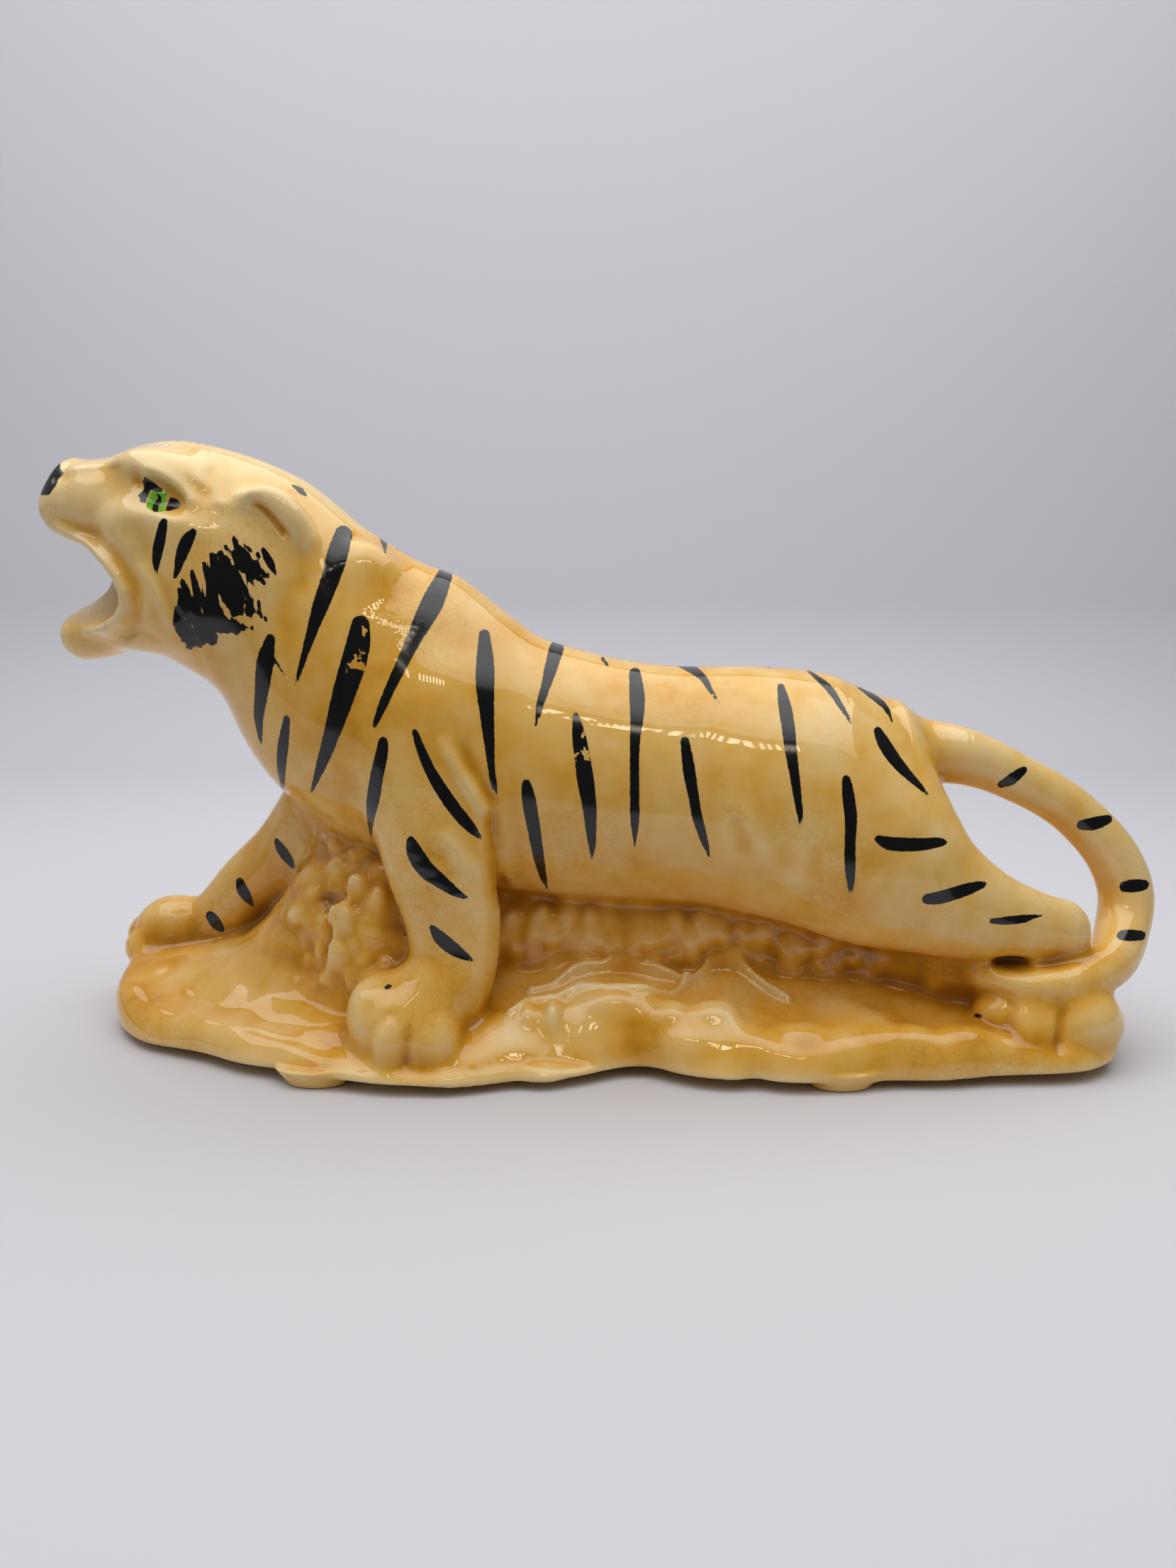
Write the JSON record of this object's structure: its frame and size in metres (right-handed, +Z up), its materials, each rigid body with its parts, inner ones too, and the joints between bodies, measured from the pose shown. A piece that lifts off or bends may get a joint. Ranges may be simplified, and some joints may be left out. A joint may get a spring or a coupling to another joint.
{
  "type": "figural ceramic planter",
  "caption": "Glazed ceramic planter shaped as a striding, snarling tiger on a hollow rock base, with an open planting trough behind the body.",
  "frame": {"origin": "on the table, under the middle of the planter's box", "axes": "+X from head to tail, +Y from the tiger to the trough behind it, +Z up"},
  "size_m": [0.3786, 0.1552, 0.2022],
  "materials": {
    "tiger_glaze": "glossy pale yellow glaze with black brushed stripes",
    "rock_glaze": "glossy amber glaze that pools in the hollows",
    "foot_glaze": "glossy, wiped thin at the table"
  },
  "bodies": {
    "root": {"torso": "tiger_glaze", "head": "tiger_glaze", "lower_jaw": "tiger_glaze", "left_ear": "tiger_glaze", "right_ear": "tiger_glaze", "left_foreleg": "tiger_glaze", "right_foreleg": "tiger_glaze", "left_hind_leg": "tiger_glaze", "right_hind_leg": "tiger_glaze", "tail": "tiger_glaze", "base_plinth": "rock_glaze", "planting_trough": "rock_glaze", "rock_bank": "rock_glaze", "front_rocks": "rock_glaze", "tail_rocks": "rock_glaze", "foot_pads": "foot_glaze"}
  },
  "joints": []
}
